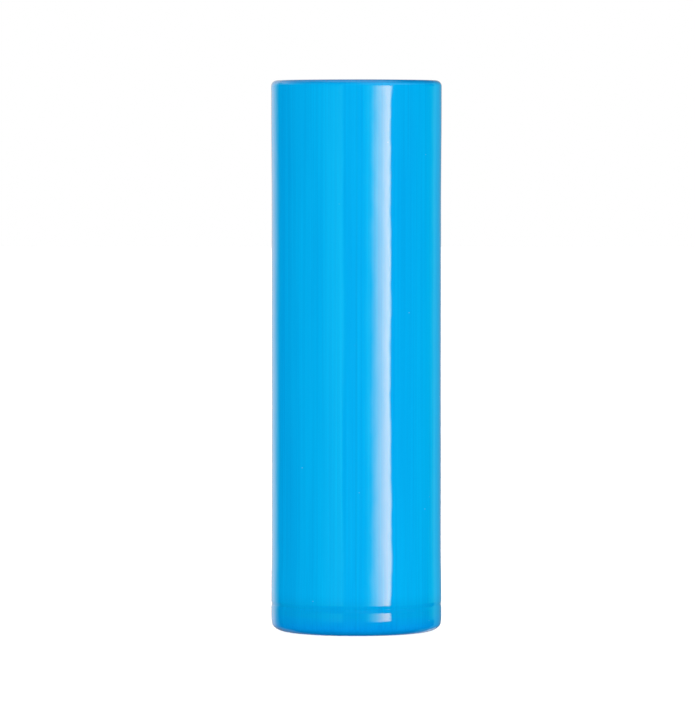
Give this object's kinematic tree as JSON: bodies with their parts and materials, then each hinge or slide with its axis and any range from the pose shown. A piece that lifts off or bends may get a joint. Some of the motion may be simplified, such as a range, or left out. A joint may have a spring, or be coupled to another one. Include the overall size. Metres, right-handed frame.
{
  "type": "cylindrical battery cell",
  "caption": "Rechargeable cylindrical lithium-ion cell in a glossy blue heat-shrink sleeve, standing on its flat positive terminal, with the wound electrodes inside.",
  "frame": {"origin": "centre of the positive terminal's face, which is also the centre of the bounding box's bottom", "axes": "+Z along the cell's axis, from the positive terminal to the can's closed, negative end; the tabs leave the roll on the +Y side"},
  "size_m": [0.0216, 0.0216, 0.07],
  "materials": {
    "sleeve_film": "gloss",
    "washer_fibre": "matte",
    "nickel_plated_steel": "satin",
    "gasket_plastic": "satin",
    "cap_steel": "satin",
    "ptc_composite": "matte",
    "aluminium_sheet": "satin",
    "holder_plastic": "matte",
    "polyimide_tape": "gloss",
    "insulator_plastic": "matte",
    "winding_tape": "gloss",
    "pin_steel": "satin",
    "nickel_strip": "satin",
    "separator_film": "satin",
    "graphite": "matte",
    "copper_foil": "satin",
    "cathode_oxide": "matte",
    "aluminium_foil": "satin"
  },
  "bodies": {
    "root": {"sleeve": "sleeve_film", "insulating_washer": "washer_fibre", "can": "nickel_plated_steel", "gasket": "gasket_plastic", "terminal_cap": "cap_steel", "ptc_ring": "ptc_composite", "vent_disc": "aluminium_sheet", "switch_holder": "holder_plastic", "switch_plate": "aluminium_sheet", "weld_spot": "aluminium_sheet", "positive_tab": "aluminium_sheet", "tab_tape": "polyimide_tape", "front_insulator": "insulator_plastic", "winding_tape_front": "winding_tape", "winding_tape_back": "winding_tape", "centre_pin": "pin_steel", "back_insulator": "insulator_plastic", "negative_tab": "nickel_strip", "separator_inner": "separator_film", "separator_outer": "separator_film", "anode_coating_inner": "graphite", "anode_coating_outer": "graphite", "anode_foil": "copper_foil", "cathode_coating_inner": "cathode_oxide", "cathode_coating_outer": "cathode_oxide", "cathode_foil": "aluminium_foil"}
  },
  "joints": []
}
